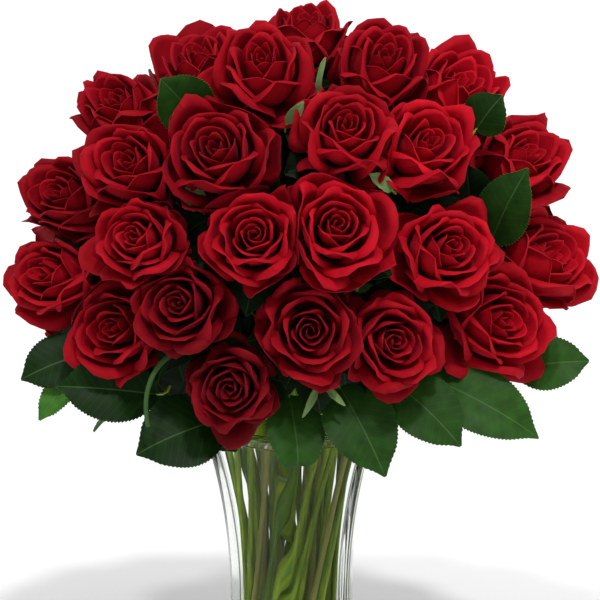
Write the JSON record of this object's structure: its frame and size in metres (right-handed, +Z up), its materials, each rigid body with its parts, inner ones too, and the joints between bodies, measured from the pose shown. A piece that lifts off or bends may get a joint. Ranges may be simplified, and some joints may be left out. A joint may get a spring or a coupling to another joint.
{
  "type": "roses in a vase",
  "caption": "Round dome of open red roses on leafy green stems, standing in a flared six-sided clear glass vase filled with water.",
  "frame": {"origin": "middle of the flat underside of the vase", "axes": "+Z up along the vase, -Y towards the front of the bouquet, +X to the right seen from the front"},
  "size_m": [0.4447, 0.3051, 0.5673],
  "materials": {
    "glass": "clear, polished",
    "water": "clear water",
    "petals": "deep red, velvety",
    "greenery": "dark green, satin, with yellow-green stems"
  },
  "bodies": {
    "root": {"vase": "glass", "water": "water", "rose_bloom_01": "petals", "rose_bloom_02": "petals", "rose_bloom_03": "petals", "rose_bloom_04": "petals", "rose_bloom_05": "petals", "rose_bloom_06": "petals", "rose_bloom_07": "petals", "rose_bloom_08": "petals", "rose_bloom_09": "petals", "rose_bloom_10": "petals", "rose_bloom_11": "petals", "rose_bloom_12": "petals", "rose_bloom_13": "petals", "rose_bloom_14": "petals", "rose_bloom_15": "petals", "rose_bloom_16": "petals", "rose_bloom_17": "petals", "rose_bloom_18": "petals", "rose_bloom_19": "petals", "rose_bloom_20": "petals", "rose_bloom_21": "petals", "rose_bloom_22": "petals", "rose_bloom_23": "petals", "rose_bloom_24": "petals", "rose_bloom_25": "petals", "rose_bloom_26": "petals", "rose_bloom_27": "petals", "rose_bloom_28": "petals", "rose_bloom_29": "petals", "rose_bloom_30": "petals", "rose_bloom_31": "petals", "rose_bloom_32": "petals", "rose_bloom_33": "petals", "rose_bloom_34": "petals", "rose_bloom_35": "petals", "rose_bloom_36": "petals", "leafy_stems_01": "greenery", "leafy_stems_02": "greenery", "leafy_stems_03": "greenery", "leafy_stems_04": "greenery", "leafy_stems_05": "greenery", "leafy_stems_06": "greenery", "leafy_stems_07": "greenery", "leafy_stems_08": "greenery", "leafy_stems_09": "greenery", "leafy_stems_10": "greenery", "leafy_stems_11": "greenery", "leafy_stems_12": "greenery"}
  },
  "joints": []
}
